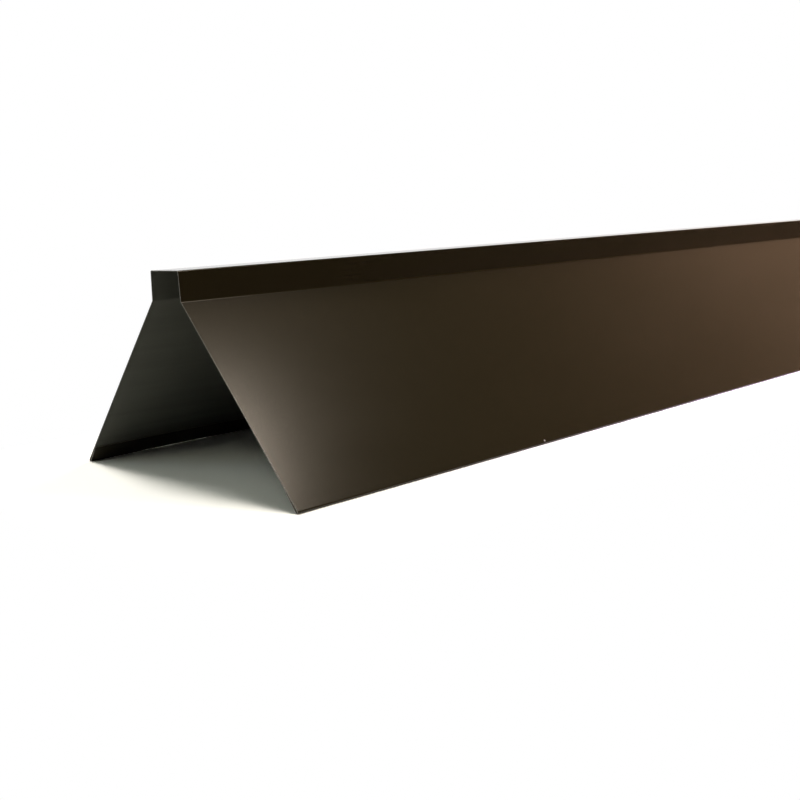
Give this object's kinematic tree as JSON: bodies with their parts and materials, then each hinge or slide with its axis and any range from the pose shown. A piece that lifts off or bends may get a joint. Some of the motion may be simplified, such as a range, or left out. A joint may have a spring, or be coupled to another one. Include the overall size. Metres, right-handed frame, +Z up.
{
  "type": "ridge flashing",
  "caption": "Folded coated-steel ridge flashing with a narrow box ridge and two sloping wings with hemmed edges, made to cap the ridge line of a pitched roof.",
  "frame": {"origin": "mid length, on the symmetry plane, at the height of the surface that the two hem folds stand on", "axes": "+Y along the ridge, +X across it towards one wing, +Z up through the ridge top"},
  "size_m": [0.2288, 2, 0.1322],
  "materials": {
    "coated_sheet": "satin dark brown topcoat outside, with a grey-green backer coat inside and bare steel at the cut edges"
  },
  "bodies": {
    "root": {"ridge_flashing": "coated_sheet"}
  },
  "joints": []
}
